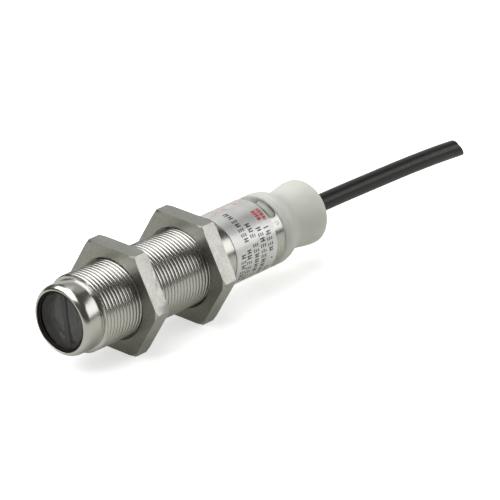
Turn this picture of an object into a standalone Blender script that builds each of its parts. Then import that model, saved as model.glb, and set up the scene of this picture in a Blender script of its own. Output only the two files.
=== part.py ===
"""M18 photoelectric sensor: a threaded steel barrel with two jam nuts, optics behind a smoked
window, a long circuit board, a wrap label under a clear sleeve, and a moulded end bell with a cable.

Sizes are in millimetres and become metres as each mesh is made. Stations along the sensor are
measured from the front lip of the barrel. World +X runs from the lens to the cable, +Z is up, and
the world origin is under the middle of the sensor, on the plane that the nuts' flats rest on.
"""

import math

import bmesh
import bpy
from mathutils import Matrix, Vector

MM = 0.001

# Whole sensor
BODY_LENGTH = 79.5
NUT_ACROSS_FLATS = 24.0
AXIS_HEIGHT = NUT_ACROSS_FLATS / 2

# Barrel
THREAD_RADIUS = 9.0
THREAD_START = 5.4
THREAD_END = 44.5
THREAD_CHAMFER = 0.5
THREAD_DEPTH = 0.55
COLLAR_RADIUS = 8.2
COLLAR_END = 4.9
COLLAR_ROUNDING = (1.8, 1.1)  # how far the front edge's round goes along the barrel, and inward
RELIEF_RADIUS = 8.0
LIP_RADIUS = 7.05
LIP_DEPTH = 0.4
BORE_RADIUS = 7.4
TAIL_RADIUS = 8.4
TAIL_END = 63.9
TAIL_ROUNDING = 0.3

# Nuts
NUT_THICKNESS = 4.0
NUT_BORE_RADIUS = THREAD_RADIUS + 0.06
NUT_COUNTERSINK = 0.5
NUT_CORNER_DROP = 0.4
FRONT_NUT_START = 16.0
REAR_NUT_START = 37.6

# Whatever is between the window and the cable sits in the barrel turned by this angle about its axis
INNER_ROLL = math.radians(-8.3)

# Front optics: first and last station, then radii, of the pieces turned about the axis
GASKET = (0.45, 0.70, 6.35, 7.3)
WINDOW = (0.75, 1.60, 7.25)
HOLDER = (1.70, 13.0, 7.25)
OPTICS_BOARD = (13.3, 14.5, 7.0)
SEPTUM = 1.3
POCKET_RADIUS = 5.7
POCKET_END = 4.8
LENS_CLEARANCE = 0.12
LENS_START = 1.95
LENS_EDGE = 1.5
LENS_BULGE = 0.5
CHANNEL_RADIUS = 2.2
CHANNEL_OFFSET = 3.2
OVERSHOOT = 1.0  # how far a cutter reaches past the face it leaves by

# Emitter and receiver
EMITTER_NOSE = 9.4
EMITTER_RADIUS = 1.5
EMITTER_FLANGE = 0.35
EMITTER_FLANGE_THICKNESS = 0.7
DOME_RINGS = 10
RECEIVER_FACE = 10.6
RECEIVER_HALF_WIDTH = 1.45
DIODE_BASE = 12.8
LEAD_RADIUS = 0.25
LEAD_PITCH = 1.27
LEAD_OVERLAP = 0.4
LEAD_HOLE_RADIUS = 0.4

# Main board
BOARD_START = 14.8
BOARD_END = 59.8
BOARD_HALF_WIDTH = 5.7
BOARD_THICKNESS = 1.0
SEAT = 0.05
CHIP_BEVEL = 0.12
HEADER = (15.0, 16.8)
HEADER_WIDTH = 10.6
HEADER_THICKNESS = 2.4
PIN_PITCH = 2.54
PIN_COUNT = 4
PIN_WIDTH = 0.6
PIN_HEIGHT = 1.8
PIN = (13.08, 18.6)
PIN_CLEARANCE = 0.06

# What stands on the board's top and bottom: stations, side offsets, height and kind of each block
BLOCKS_ABOVE = (
    ("controller_chip", (20.5, 27.5), (-2.6, 2.6), 1.5, "chip"),
    ("comparator_chip", (29.5, 33.5), (-2.0, 2.0), 1.2, "chip"),
    ("voltage_regulator", (45.0, 49.5), (-4.6, -1.8), 1.5, "chip"),
    ("output_transistor", (45.0, 48.0), (1.6, 4.6), 1.1, "chip"),
    ("indicator_led", (57.2, 58.8), (3.7, 4.9), 0.8, "amber"),
)
BLOCKS_BELOW = (
    ("suppression_inductor", (40.0, 44.5), (-2.3, 2.3), 2.4, "ferrite"),
    ("protection_diode", (48.0, 52.0), (-1.4, 1.4), 1.8, "chip"),
    ("timing_capacitor", (26.0, 28.6), (-0.9, 0.9), 1.3, "tan"),
)
CAN_CAPACITOR = (36.0, 43.0)
CAN_RADIUS = 1.9

# End bell
SPIGOT_START = 56.5
SPIGOT_RADIUS = 7.3
SPIGOT_BORE = 6.2
SPIGOT_CHAMFER = 0.3
SEAL_STATION = 58.6
SEAL_WIDTH = 1.5
SEAL_FLOOR = 6.6
SEAL_CLEARANCE = 0.06
SEAL_FACETS = 8
FLANGE_START = 64.0
FLANGE_RADIUS = 8.6
FLANGE_ROUNDING = 0.4
SHOULDER_LENGTH = 5.2
NECK_STATION = 71.4
NECK_RADIUS = 6.95
RIM_RADIUS = 7.7
RIM_ROUNDING = 1.1
FUNNEL = (66.0, 69.5)
CHAMBER_RADIUS = 3.2
CHAMBER_END = 74.0
BELL_SEGMENTS = 48
TAB_STATION = 62.3
TAB_LENGTH = 5.6
TAB_WIDTH = 1.9
TAB_ANGLE = 63.0
TAB_CLEARANCE = 0.12
TAB_DROP = 0.05
TAB_OVERLAP = 0.6

# Label and sleeve
LABEL = (47.6, 60.9, 8.43, 8.53)
SLEEVE = (47.0, 63.8, 8.56, 8.66)

# Cable
CABLE_RADIUS = 2.1
CABLE_BORE = 2.2
CABLE_ROOT = 66.6
FERRULE = (70.5, 73.5, 2.2, 2.9)
CABLE_GAP = 0.1
WIRE_RADIUS = 0.6
WIRE_SPREAD = 2.2
WIRE_START = 53.5
WIRE_GAP = 0.15
WIRE_STRAIGHT = 0.6
WIRE_HOLE_CLEARANCE = 0.1
# Side and height, about the axis, at which each wire enters the cable
WIRE_ENTRIES = {"brown": (-1.3, 0.7), "blue": (0.0, -0.75), "black": (1.3, 0.7)}
POTTING = (60.4, 64.4)
POTTING_RADIUS = SPIGOT_BORE - 0.15

# Free end of the cable: station, and height above the sensor's axis, of each point of its route
CABLE_ROUTE = (
    (BODY_LENGTH + CABLE_GAP, 0.0),
    (92.0, -0.14),
    (104.0, -0.40),
    (116.0, -0.72),
    (126.0, -1.20),
    (134.5, -1.85),
)
CABLE_POINT_SPACING = 2.5 * 2 * CABLE_RADIUS

# Facets around a turned piece: outside, inside the barrel, on small round pieces and on wires
SEGMENTS = 64
INNER_SEGMENTS = 40
SMALL_SEGMENTS = 24
HOLE_SEGMENTS = 16
LEAD_SEGMENTS = 12


def clear_scene():
    """Remove every object, so that the file holds only this sensor."""
    for leftover in list(bpy.data.objects):
        bpy.data.objects.remove(leftover, do_unlink=True)


def make_collection(name):
    collection = bpy.data.collections.new(name)
    bpy.context.scene.collection.children.link(collection)
    return collection


clear_scene()
PARTS = make_collection("photoelectric_sensor")
CUTTERS = make_collection("cutters")


def material(name, colour, roughness, metallic=0.0, alpha=1.0):
    """A Principled BSDF material; asking for the same name again returns the same one."""
    found = bpy.data.materials.get(name)
    if found:
        return found
    made = bpy.data.materials.new(name)
    made.use_nodes = True
    shader = made.node_tree.nodes["Principled BSDF"]
    shader.inputs["Base Color"].default_value = (*colour, 1.0)
    shader.inputs["Roughness"].default_value = roughness
    shader.inputs["Metallic"].default_value = metallic
    shader.inputs["Alpha"].default_value = alpha
    return made


STEEL = material("stainless_steel", (0.62, 0.61, 0.58), 0.22, 1.0)
NUT_STEEL = material("blasted_nut_steel", (0.50, 0.49, 0.45), 0.48, 1.0)
RUBBER = material("gasket_rubber", (0.05, 0.02, 0.015), 0.7)
SMOKED = material("smoked_window_plastic", (0.02, 0.02, 0.022), 0.08)
HOLDER_BLACK = material("lens_holder_plastic", (0.03, 0.03, 0.03), 0.5)
CLEAR_LENS = material("lens_acrylic", (0.75, 0.75, 0.78), 0.05, 0.0, 0.4)
LED_EPOXY = material("led_epoxy", (0.35, 0.30, 0.45), 0.1)
SILICON_BLACK = material("chip_mould_compound", (0.03, 0.03, 0.03), 0.45)
BOARD_GREEN = material("circuit_board_laminate", (0.02, 0.16, 0.06), 0.4)
GOLD_PIN = material("gold_plated_pin", (0.90, 0.68, 0.28), 0.25, 1.0)
CAPACITOR_TAN = material("capacitor_body", (0.45, 0.28, 0.08), 0.4)
FERRITE = material("ferrite_core", (0.08, 0.08, 0.09), 0.55)
LED_AMBER = material("indicator_led_lens", (0.95, 0.55, 0.08), 0.2)
LABEL_FOIL = material("label_film", (0.74, 0.74, 0.74), 0.35)
SLEEVE_CLEAR = material("clear_sleeve_film", (0.9, 0.9, 0.9), 0.1, 0.0, 0.25)
BELL_PLASTIC = material("translucent_bell_plastic", (0.66, 0.67, 0.61), 0.35)
SEAL_RUBBER = material("seal_rubber", (0.02, 0.02, 0.02), 0.6)
POTTING_RESIN = material("potting_resin", (0.08, 0.07, 0.06), 0.3)
CABLE_BLACK = material("cable_jacket_pvc", (0.02, 0.02, 0.02), 0.5)
FERRULE_TIN = material("tinned_ferrule", (0.70, 0.70, 0.68), 0.3, 1.0)
WIRE_COLOURS = {
    "brown": material("wire_brown_pvc", (0.16, 0.06, 0.02), 0.45),
    "blue": material("wire_blue_pvc", (0.02, 0.10, 0.45), 0.45),
    "black": material("wire_black_pvc", (0.015, 0.015, 0.015), 0.45),
}
BLOCK_LOOKS = {"chip": SILICON_BLACK, "amber": LED_AMBER, "ferrite": FERRITE, "tan": CAPACITOR_TAN}


def place(station, side=0.0, height=0.0):
    """World position, in metres, of a point given by its station and its offsets from the axis."""
    return Vector((station - BODY_LENGTH / 2, side, height + AXIS_HEIGHT)) * MM


def add_object(name, mesh, look=None):
    """Put a mesh in the parts collection, or among the cutters when it has no material."""
    made = bpy.data.objects.new(name, mesh)
    if look:
        mesh.materials.append(look)
        PARTS.objects.link(made)
    else:
        made.hide_render = True
        made.display_type = "WIRE"
        CUTTERS.objects.link(made)
    return made


def mesh_from(build, name):
    mesh = bpy.data.meshes.new(name)
    build.to_mesh(mesh)
    build.free()
    return mesh


def lying_cylinder(build, radius, length, segments):
    """Add a closed cylinder about the build's origin, its axis along X."""
    bmesh.ops.create_cone(
        build,
        cap_ends=True,
        segments=segments,
        radius1=radius * MM,
        radius2=radius * MM,
        depth=length * MM,
    )
    along_x = Matrix.Rotation(math.radians(90), 3, "Y")
    bmesh.ops.rotate(build, cent=(0, 0, 0), matrix=along_x, verts=build.verts)


def turned(name, profile, look=None, segments=SEGMENTS, closed=True):
    """Turn a profile of (station, radius) points about the sensor's axis.

    The points go along the outer side from the rear to the front, and back along the inner side.
    """
    mesh = bpy.data.meshes.new(name)
    points = [(radius * MM, 0, (station - BODY_LENGTH / 2) * MM) for station, radius in profile]
    edges = [(i, i + 1) for i in range(len(points) - 1)]
    if closed:
        edges.append((len(points) - 1, 0))
    mesh.from_pydata(points, edges, [])
    made = add_object(name, mesh, look)
    made.rotation_euler = (0, math.radians(90), 0)
    made.location = (0, 0, AXIS_HEIGHT * MM)
    screw = made.modifiers.new("turn", "SCREW")
    screw.steps = segments
    screw.render_steps = segments
    screw.use_merge_vertices = True
    screw.merge_threshold = 0.00001
    screw.use_smooth_shade = True
    return made


def ring(name, start, end, inner, outer, look=None, segments=SEGMENTS):
    """A plain tube between two stations."""
    return turned(name, [(end, outer), (start, outer), (start, inner), (end, inner)], look, segments)


def disc(name, start, end, radius, look=None, segments=SEGMENTS):
    """A plain solid cylinder on the sensor's axis."""
    outline = [(end, 0.0), (end, radius), (start, radius), (start, 0.0)]
    return turned(name, outline, look, segments, closed=False)


def box(name, stations, sides, heights, look=None, bevel=0.0):
    """A block between two stations, two side offsets and two heights about the axis."""
    low = place(stations[0], sides[0], heights[0])
    high = place(stations[1], sides[1], heights[1])
    build = bmesh.new()
    bmesh.ops.create_cube(build, size=1.0)
    bmesh.ops.scale(build, vec=high - low, verts=build.verts)
    made = add_object(name, mesh_from(build, name), look)
    made.location = (low + high) / 2
    if bevel:
        edge = made.modifiers.new("edges", "BEVEL")
        edge.width = bevel * MM
        edge.segments = 1
    return made


def rod(name, stations, side, height, radius, look=None, segments=SMALL_SEGMENTS):
    """A straight round rod parallel to the sensor's axis, between two stations."""
    build = bmesh.new()
    lying_cylinder(build, radius, stations[1] - stations[0], segments)
    made = add_object(name, mesh_from(build, name), look)
    made.location = place(sum(stations) / 2, side, height)
    return made


def half_disc(name, start, end, side, inset):
    """A cutter with a D outline: the part of a pocket on one side, starting `inset` from the middle."""
    build = bmesh.new()
    lying_cylinder(build, POCKET_RADIUS, end - start, INNER_SEGMENTS)
    cut_off = bmesh.ops.bisect_plane(
        build,
        geom=build.verts[:] + build.edges[:] + build.faces[:],
        plane_co=(0, side * inset * MM, 0),
        plane_no=(0, side, 0),
        clear_inner=True,
    )
    open_edges = [item for item in cut_off["geom_cut"] if isinstance(item, bmesh.types.BMEdge)]
    bmesh.ops.edgeloop_fill(build, edges=open_edges)
    bmesh.ops.recalc_face_normals(build, faces=build.faces)
    made = add_object(name, mesh_from(build, name))
    made.location = place((start + end) / 2)
    return made


def oblong_outline(length, width):
    """Points round a flat shape with straight sides and half-round ends."""
    half, radius, arc_steps = (length - width) / 2, width / 2, 6
    outline = []
    for middle, first in ((half, -90), (-half, 90)):
        for step in range(arc_steps + 1):
            turn = math.radians(first + 180 * step / arc_steps)
            outline.append((middle + radius * math.cos(turn), radius * math.sin(turn)))
    return outline


def oblong(name, angle, length, width, inner, outer):
    """A cutter shaped as a round-ended block that stands out radially, long side around the axis."""
    curve = bpy.data.curves.new(name, "CURVE")
    curve.dimensions = "2D"
    curve.fill_mode = "BOTH"
    curve.extrude = (outer - inner) / 2 * MM
    spline = curve.splines.new("POLY")
    outline = oblong_outline(length, width)
    spline.points.add(len(outline) - 1)
    for point, (across, along) in zip(spline.points, outline):
        point.co = (across * MM, along * MM, 0, 1)
    spline.use_cyclic_u = True
    guide = bpy.data.objects.new(name + "_outline", curve)
    CUTTERS.objects.link(guide)
    bpy.context.view_layer.update()
    graph = bpy.context.evaluated_depsgraph_get()
    block = bpy.data.meshes.new_from_object(guide.evaluated_get(graph))
    bpy.data.objects.remove(guide, do_unlink=True)
    build = bmesh.new()
    build.from_mesh(block)
    bmesh.ops.remove_doubles(build, verts=build.verts, dist=0.00001)
    bmesh.ops.recalc_face_normals(build, faces=build.faces)
    made = add_object(name, mesh_from(build, name))
    outward = Vector((0, -math.cos(angle), math.sin(angle)))
    around = Vector((0, math.sin(angle), math.cos(angle)))
    axes = Matrix((around, outward.cross(around), outward)).transposed()
    middle = place(TAB_STATION) + outward * (inner + outer) / 2 * MM
    made.matrix_world = Matrix.Translation(middle) @ axes.to_4x4()
    return made


def wire(name, points, radius, look, resolution=2):
    """A round wire through points given as (station, side, height)."""
    curve = bpy.data.curves.new(name, "CURVE")
    curve.dimensions = "3D"
    curve.bevel_depth = radius * MM
    curve.bevel_resolution = resolution
    curve.use_fill_caps = True
    spline = curve.splines.new("POLY")
    spline.points.add(len(points) - 1)
    for point, (station, side, height) in zip(spline.points, points):
        point.co = (*place(station, side, height), 1)
    curve.materials.append(look)
    made = bpy.data.objects.new(name, curve)
    PARTS.objects.link(made)
    return made


def boolean(target, other, operation):
    change = target.modifiers.new(f"{operation.lower()}_{other.name}", "BOOLEAN")
    change.operation = operation
    change.solver = "EXACT"
    change.object = other


def cut(target, *cutters):
    for cutter in cutters:
        boolean(target, cutter, "DIFFERENCE")


def join(target, *others):
    for other in others:
        boolean(target, other, "UNION")


def rounding(centre, reach, first, last, steps):
    """Points of an elliptical arc about (station, radius), between two angles from the station axis."""
    angles = [math.radians(first + (last - first) * step / steps) for step in range(steps + 1)]
    return [(centre[0] + reach[0] * math.cos(a), centre[1] + reach[1] * math.sin(a)) for a in angles]


def smooth_between(start, end, steps=8):
    """Points of an S curve from one (station, radius) to another, level at both ends."""
    points = []
    for step in range(steps + 1):
        share = step / steps
        ease = (1 - math.cos(math.pi * share)) / 2
        points.append((start[0] + (end[0] - start[0]) * share, start[1] + (end[1] - start[1]) * ease))
    return points


def make_barrel():
    """The steel tube: front lip and polished collar, thread at its major size, plain tail, tab slots."""
    root = THREAD_RADIUS - THREAD_DEPTH
    tail_corner = (TAIL_END - TAIL_ROUNDING, TAIL_RADIUS - TAIL_ROUNDING)
    along, inward = COLLAR_ROUNDING
    outer = rounding(tail_corner, (TAIL_ROUNDING, TAIL_ROUNDING), 0, 90, 3)
    outer += [
        (THREAD_END + 0.1, TAIL_RADIUS),
        (THREAD_END, root),
        (THREAD_END - THREAD_CHAMFER, THREAD_RADIUS),
        (THREAD_START + THREAD_CHAMFER, THREAD_RADIUS),
        (THREAD_START, root),
        (THREAD_START - 0.1, RELIEF_RADIUS),
        (COLLAR_END + 0.1, RELIEF_RADIUS),
        (COLLAR_END, COLLAR_RADIUS),
    ]
    outer += rounding((along, COLLAR_RADIUS - inward), (along, inward), 90, 180, 8)
    inner = [
        (0.0, LIP_RADIUS),
        (LIP_DEPTH, LIP_RADIUS),
        (LIP_DEPTH, BORE_RADIUS),
        (TAIL_END, BORE_RADIUS),
    ]
    barrel = turned("barrel", outer + inner, STEEL)
    reach = (SPIGOT_RADIUS - OVERSHOOT, TAIL_RADIUS + OVERSHOOT)
    for number, angle in enumerate(tab_angles()):
        cut(barrel, oblong(f"slot_{number}", angle, TAB_LENGTH, TAB_WIDTH, *reach))
    return barrel


def tab_angles():
    """Where the end bell's two snap tabs stand, opposite each other."""
    return [math.radians(TAB_ANGLE), math.radians(TAB_ANGLE + 180)]


def make_nut(name, start):
    """A hexagon jam nut on the barrel, flat side down, chamfered at its corners and its bore."""
    corner_radius = NUT_ACROSS_FLATS / math.sqrt(3)
    end = start + NUT_THICKNESS
    nut = rod(name, (start, end), 0, 0, corner_radius, NUT_STEEL, 6)
    cone_radius = corner_radius - NUT_CORNER_DROP * math.sqrt(3)
    reach = corner_radius + OVERSHOOT
    drop = (reach - cone_radius) / math.sqrt(3)
    blank = turned(
        name + "_blank",
        [
            (end, 0.0),
            (end, cone_radius),
            (end - drop, reach),
            (start + drop, reach),
            (start, cone_radius),
            (start, 0.0),
        ],
        closed=False,
    )
    boolean(nut, blank, "INTERSECT")
    wide = NUT_BORE_RADIUS + NUT_COUNTERSINK
    bore = turned(
        name + "_bore",
        [
            (end + OVERSHOOT, 0.0),
            (end + OVERSHOOT, wide + OVERSHOOT),
            (end, wide),
            (end - NUT_COUNTERSINK, NUT_BORE_RADIUS),
            (start + NUT_COUNTERSINK, NUT_BORE_RADIUS),
            (start, wide),
            (start - OVERSHOOT, wide + OVERSHOOT),
            (start - OVERSHOOT, 0.0),
        ],
        closed=False,
    )
    cut(nut, bore)
    return nut


def make_window():
    ring("window_gasket", *GASKET, RUBBER, INNER_SEGMENTS)
    disc("front_window", *WINDOW, SMOKED, INNER_SEGMENTS)


def lens_blank(name):
    """A plano-convex disc whose bulge faces the window; the D outline trims it to a half lens."""
    rim = POCKET_RADIUS - LENS_CLEARANCE
    sphere = (rim**2 + LENS_BULGE**2) / (2 * LENS_BULGE)
    rear = LENS_START + LENS_BULGE + LENS_EDGE
    bulge = []
    steps = 6
    for step in range(steps + 1):
        radius = rim * (1 - step / steps)
        bulge.append((LENS_START + sphere - math.sqrt(sphere**2 - radius**2), radius))
    return turned(name, [(rear, 0.0), (rear, rim)] + bulge, CLEAR_LENS, INNER_SEGMENTS, closed=False)


def make_optics():
    """The lens holder with its two pockets, a half lens in each, the emitter and the receiver."""
    holder = disc("lens_holder", *HOLDER, HOLDER_BLACK, INNER_SEGMENTS)
    board = disc("optics_board", *OPTICS_BOARD, BOARD_GREEN, INNER_SEGMENTS)
    front = HOLDER[0] - OVERSHOOT
    for name, side in (("emitter", -1), ("receiver", 1)):
        middle = side * CHANNEL_OFFSET
        pocket = half_disc(name + "_pocket", front, POCKET_END, side, SEPTUM / 2)
        behind = (POCKET_END - OVERSHOOT, HOLDER[1] + OVERSHOOT)
        cut(holder, pocket, rod(name + "_channel", behind, middle, 0, CHANNEL_RADIUS))
        lens = lens_blank(name + "_lens")
        trim = half_disc(name + "_trim", front, POCKET_END + OVERSHOOT, side, SEPTUM / 2 + LENS_CLEARANCE)
        boolean(lens, trim, "INTERSECT")
        through = (OPTICS_BOARD[0] - OVERSHOOT, OPTICS_BOARD[1] + OVERSHOOT)
        for label, height in (("low", -LEAD_PITCH), ("high", LEAD_PITCH)):
            hole = rod(
                f"{name}_lead_hole_{label}", through, middle, height, LEAD_HOLE_RADIUS, None, HOLE_SEGMENTS
            )
            cut(board, hole)
    make_emitter()
    make_receiver()
    return board


def make_emitter():
    """A round-nosed infrared diode with two leads through the optics board."""
    side = -CHANNEL_OFFSET
    body = rod("emitter_led", (EMITTER_NOSE, DIODE_BASE), side, 0, EMITTER_RADIUS, LED_EPOXY)
    build = bmesh.new()
    bmesh.ops.create_uvsphere(
        build,
        u_segments=SMALL_SEGMENTS,
        v_segments=DOME_RINGS,
        radius=(EMITTER_RADIUS - 0.02) * MM,
    )
    dome = add_object("emitter_dome", mesh_from(build, "emitter_dome"))
    dome.location = place(EMITTER_NOSE, side, 0)
    rim = (DIODE_BASE - EMITTER_FLANGE_THICKNESS, DIODE_BASE)
    join(body, dome, rod("emitter_flange", rim, side, 0, EMITTER_RADIUS + EMITTER_FLANGE))
    add_leads(body, "emitter", side)


def make_receiver():
    """A square photodiode package with two leads through the optics board."""
    side, half = CHANNEL_OFFSET, RECEIVER_HALF_WIDTH
    stations = (RECEIVER_FACE, DIODE_BASE)
    sides = (side - half, side + half)
    body = box("receiver_photodiode", stations, sides, (-half, half), SILICON_BLACK, CHIP_BEVEL)
    add_leads(body, "receiver", side)


def add_leads(body, name, side):
    stations = (DIODE_BASE - LEAD_OVERLAP, OPTICS_BOARD[1] + LEAD_OVERLAP)
    for label, height in (("low", -LEAD_PITCH), ("high", LEAD_PITCH)):
        join(body, rod(f"{name}_lead_{label}", stations, side, height, LEAD_RADIUS, None, LEAD_SEGMENTS))


def make_header(optics_board):
    """A strip of square pins that carries signals from the optics board to the main board."""
    seat = BOARD_THICKNESS / 2 + SEAT
    sides = (-HEADER_WIDTH / 2, HEADER_WIDTH / 2)
    strip = box("header_strip", HEADER, sides, (seat, seat + HEADER_THICKNESS), HOLDER_BLACK)
    first = -PIN_PITCH * (PIN_COUNT - 1) / 2
    half = PIN_WIDTH / 2
    hole = half + PIN_CLEARANCE
    reach = (PIN[0] - OVERSHOOT, PIN[1] + OVERSHOOT)
    for number in range(PIN_COUNT):
        side = first + PIN_PITCH * number
        heights = (PIN_HEIGHT - half, PIN_HEIGHT + half)
        box(f"header_pin_{number + 1}", PIN, (side - half, side + half), heights, GOLD_PIN)
        heights = (PIN_HEIGHT - hole, PIN_HEIGHT + hole)
        passage = box(f"pin_hole_{number + 1}", reach, (side - hole, side + hole), heights)
        cut(strip, passage)
        cut(optics_board, passage)


def make_board():
    """The long circuit board and the parts that stand on it."""
    top = BOARD_THICKNESS / 2
    half = BOARD_HALF_WIDTH
    box("main_board", (BOARD_START, BOARD_END), (-half, half), (-top, top), BOARD_GREEN)
    for name, stations, sides, height, kind in BLOCKS_ABOVE:
        box(name, stations, sides, (top + SEAT, top + SEAT + height), BLOCK_LOOKS[kind], CHIP_BEVEL)
    for name, stations, sides, height, kind in BLOCKS_BELOW:
        box(name, stations, sides, (-top - SEAT - height, -top - SEAT), BLOCK_LOOKS[kind], CHIP_BEVEL)
    rod("filter_capacitor", CAN_CAPACITOR, 0, top + SEAT + CAN_RADIUS, CAN_RADIUS, CAPACITOR_TAN)


def bell_profile():
    """Outline of the end bell: rear rim, flare, neck, rounded shoulder, spigot, then its bore."""
    rim_corner = (BODY_LENGTH - RIM_ROUNDING, RIM_RADIUS - RIM_ROUNDING)
    flange_corner = (FLANGE_START + FLANGE_ROUNDING, FLANGE_RADIUS - FLANGE_ROUNDING)
    neck = (NECK_STATION, NECK_RADIUS)
    outer = [(BODY_LENGTH, CABLE_BORE)]
    outer += rounding(rim_corner, (RIM_ROUNDING, RIM_ROUNDING), 0, 80, 4)
    outer += smooth_between(neck, (NECK_STATION - SHOULDER_LENGTH, FLANGE_RADIUS), 9)
    outer += rounding(flange_corner, (FLANGE_ROUNDING, FLANGE_ROUNDING), 90, 180, 2)
    outer += [
        (FLANGE_START, SPIGOT_RADIUS),
        (SEAL_STATION + SEAL_WIDTH / 2, SPIGOT_RADIUS),
        (SEAL_STATION + SEAL_WIDTH / 2, SEAL_FLOOR),
        (SEAL_STATION - SEAL_WIDTH / 2, SEAL_FLOOR),
        (SEAL_STATION - SEAL_WIDTH / 2, SPIGOT_RADIUS),
        (SPIGOT_START + SPIGOT_CHAMFER, SPIGOT_RADIUS),
        (SPIGOT_START, SPIGOT_RADIUS - SPIGOT_CHAMFER),
    ]
    inner = [
        (SPIGOT_START, SPIGOT_BORE),
        (FUNNEL[0], SPIGOT_BORE),
        (FUNNEL[1], CHAMBER_RADIUS),
        (CHAMBER_END, CHAMBER_RADIUS),
        (CHAMBER_END, CABLE_BORE),
    ]
    return outer + inner


def make_end_bell():
    """The translucent bell, its snap tabs in the barrel's slots, and the O-ring on its spigot."""
    bell = turned("end_bell", bell_profile(), BELL_PLASTIC, BELL_SEGMENTS)
    length = TAB_LENGTH - 2 * TAB_CLEARANCE
    width = TAB_WIDTH - 2 * TAB_CLEARANCE
    reach = (SPIGOT_RADIUS - TAB_OVERLAP, TAIL_RADIUS + OVERSHOOT)
    beside = (TAB_STATION - TAB_WIDTH, TAB_STATION + TAB_WIDTH)
    for number, angle in enumerate(tab_angles()):
        tab = oblong(f"tab_{number}", angle, length, width, *reach)
        flush = disc(f"tab_{number}_flush", *beside, TAIL_RADIUS - TAB_DROP)
        boolean(tab, flush, "INTERSECT")
        join(bell, tab)
    thickness = (BORE_RADIUS - SEAL_FLOOR) / 2 - SEAL_CLEARANCE
    middle = (BORE_RADIUS + SEAL_FLOOR) / 2
    turns = (math.tau * step / SEAL_FACETS for step in range(SEAL_FACETS))
    section = [
        (SEAL_STATION + thickness * math.cos(turn), middle + thickness * math.sin(turn)) for turn in turns
    ]
    turned("bell_seal_ring", section, SEAL_RUBBER, INNER_SEGMENTS)


def make_label_and_sleeve():
    ring("wrap_label", *LABEL, LABEL_FOIL)
    ring("clear_sleeve", *SLEEVE, SLEEVE_CLEAR)


def cable_points():
    """Evenly spaced points on a smooth curve through the free cable's route."""
    points = []
    ends = [CABLE_ROUTE[0]] + list(CABLE_ROUTE) + [CABLE_ROUTE[-1]]
    for index in range(len(CABLE_ROUTE) - 1):
        before, here, there, after = (Vector(ends[index + k]) for k in range(4))
        steps = max(1, round((there - here).length / CABLE_POINT_SPACING))
        for step in range(steps):
            t = step / steps
            points.append(
                0.5
                * (
                    2 * here
                    + (there - before) * t
                    + (2 * before - 5 * here + 4 * there - after) * t**2
                    + (3 * here - before - 3 * there + after) * t**3
                )
            )
    points.append(Vector(CABLE_ROUTE[-1]))
    return [(point.x, 0.0, point.y) for point in points]


def make_cable():
    """The jacket inside the bell, its crimp, and the free end."""
    rod("cable_root", (CABLE_ROOT, BODY_LENGTH - CABLE_GAP), 0, 0, CABLE_RADIUS, CABLE_BLACK)
    ring("cable_ferrule", *FERRULE, FERRULE_TIN, SMALL_SEGMENTS)
    wire("cable", cable_points(), CABLE_RADIUS, CABLE_BLACK, 3)


def make_wires():
    """The three wires from the board to the cable, and the potting round them."""
    potting = disc("potting_plug", *POTTING, POTTING_RADIUS, POTTING_RESIN, INNER_SEGMENTS)
    height = BOARD_THICKNESS / 2 + SEAT + WIRE_RADIUS
    wire_end = CABLE_ROOT - WIRE_GAP
    through = (POTTING[0] - OVERSHOOT, POTTING[1] + OVERSHOOT)
    hole_radius = WIRE_RADIUS + WIRE_HOLE_CLEARANCE
    for order, (colour, look) in zip((-1, 0, 1), WIRE_COLOURS.items()):
        side = order * WIRE_SPREAD
        entry = WIRE_ENTRIES[colour]
        route = [
            (WIRE_START, side, height),
            (POTTING[1] + 0.2, side, height),
            (wire_end - WIRE_STRAIGHT, *entry),
            (wire_end, *entry),
        ]
        wire(f"wire_{colour}", route, WIRE_RADIUS, look)
        cut(potting, rod(f"wire_hole_{colour}", through, side, height, hole_radius, None, HOLE_SEGMENTS))


def make_inner_assembly():
    """The optics, boards, wires and potting, turned together by an empty on the sensor's axis."""
    mount = bpy.data.objects.new("inner_assembly", None)
    mount.location = (0, 0, AXIS_HEIGHT * MM)
    mount.rotation_euler = (INNER_ROLL, 0, 0)
    PARTS.objects.link(mount)
    outside = list(bpy.data.objects)
    make_header(make_optics())
    make_board()
    make_wires()
    for made in bpy.data.objects:
        if made not in outside:
            made.parent = mount
            made.matrix_parent_inverse = Matrix.Translation(-mount.location)


make_barrel()
make_nut("front_nut", FRONT_NUT_START)
make_nut("rear_nut", REAR_NUT_START)
make_window()
make_inner_assembly()
make_end_bell()
make_label_and_sleeve()
make_cable()
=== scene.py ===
"""Studio scene of an M18 photoelectric sensor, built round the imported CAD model.

Every place along the sensor is a station in millimetres from the front lip of the barrel. A place round
it is an angle in degrees about the barrel's axis: 0 faces -Y, 90 is up and 180 faces +Y.
"""

import math
import random

import bmesh
import bpy
from mathutils import Matrix, Vector


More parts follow.
